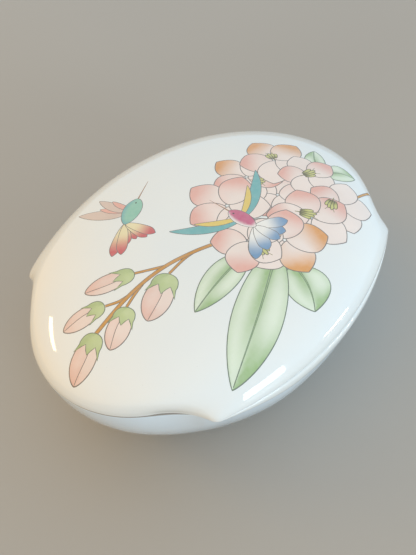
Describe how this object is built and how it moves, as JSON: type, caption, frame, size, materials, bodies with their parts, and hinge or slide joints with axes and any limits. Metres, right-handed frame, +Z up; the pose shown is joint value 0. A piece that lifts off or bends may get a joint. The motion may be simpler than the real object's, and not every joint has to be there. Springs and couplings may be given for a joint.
{
  "type": "porcelain trinket box",
  "caption": "Low oval porcelain trinket box: a bowl on a foot ring under a domed lift-off lid with small pointed corners and skirted long sides.",
  "frame": {"origin": "middle of the foot ring's underside, on the surface that the box stands on", "axes": "+X along the box's length through its rounded ends, +Y across it, +Z up through the lid"},
  "size_m": [0.1146, 0.0886, 0.0468],
  "materials": {
    "base_glaze": "glossy white glaze",
    "lid_glaze": "glossy white glaze with a fired floral decal"
  },
  "bodies": {
    "bowl": {"base": "base_glaze"},
    "cover": {"lid": "lid_glaze"}
  },
  "joints": [
    {"name": "lid_lift", "type": "slide", "parent": "bowl", "child": "cover", "axis": [0, 0, 1], "range_m": [0, 0.06]}
  ]
}
